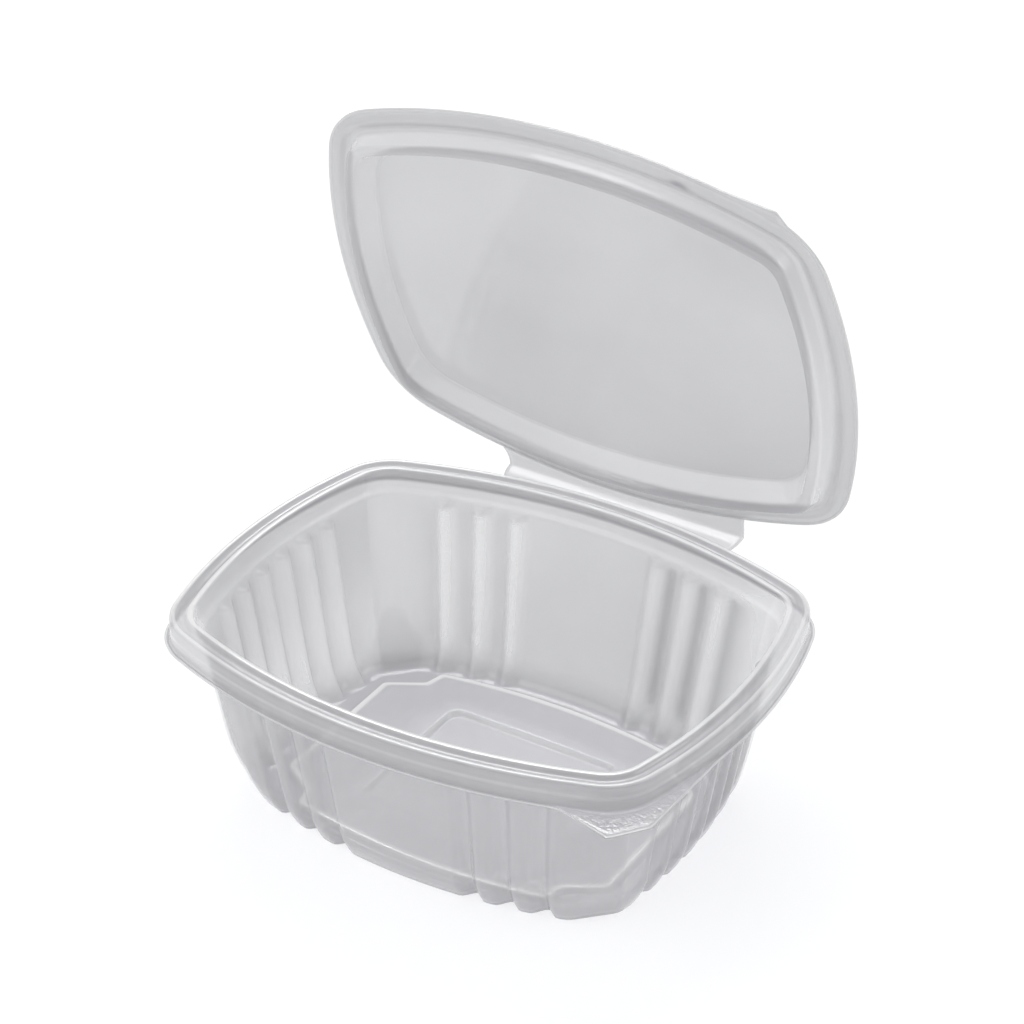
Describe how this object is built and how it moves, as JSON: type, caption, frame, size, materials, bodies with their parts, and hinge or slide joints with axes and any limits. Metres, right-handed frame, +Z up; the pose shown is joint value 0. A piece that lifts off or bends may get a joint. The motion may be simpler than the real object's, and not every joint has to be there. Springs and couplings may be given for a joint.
{
  "type": "hinged_lid_food_container",
  "caption": "Clear rectangular takeaway container with bowed fluted sides, a crowned rim with pull tab, and a hinged plug-fit lid standing open.",
  "frame": {"origin": "Middle of the tub's underside, on the surface it stands on.", "axes": "X runs along the hinge, +Y points to the hinge side, Z up."},
  "size_m": [0.1368, 0.1132, 0.1574],
  "materials": {
    "clear_sheet": "clear thermoformed sheet, glossy on both faces"
  },
  "bodies": {
    "base": {"tub": "clear_sheet"},
    "lid": {"lid": "clear_sheet"}
  },
  "joints": [
    {"name": "lid_hinge", "type": "hinge", "parent": "base", "child": "lid", "pos_m": [0, 0.0568, 0.0498], "axis": [-1, 0, 0], "range_deg": [-74, 106]}
  ]
}
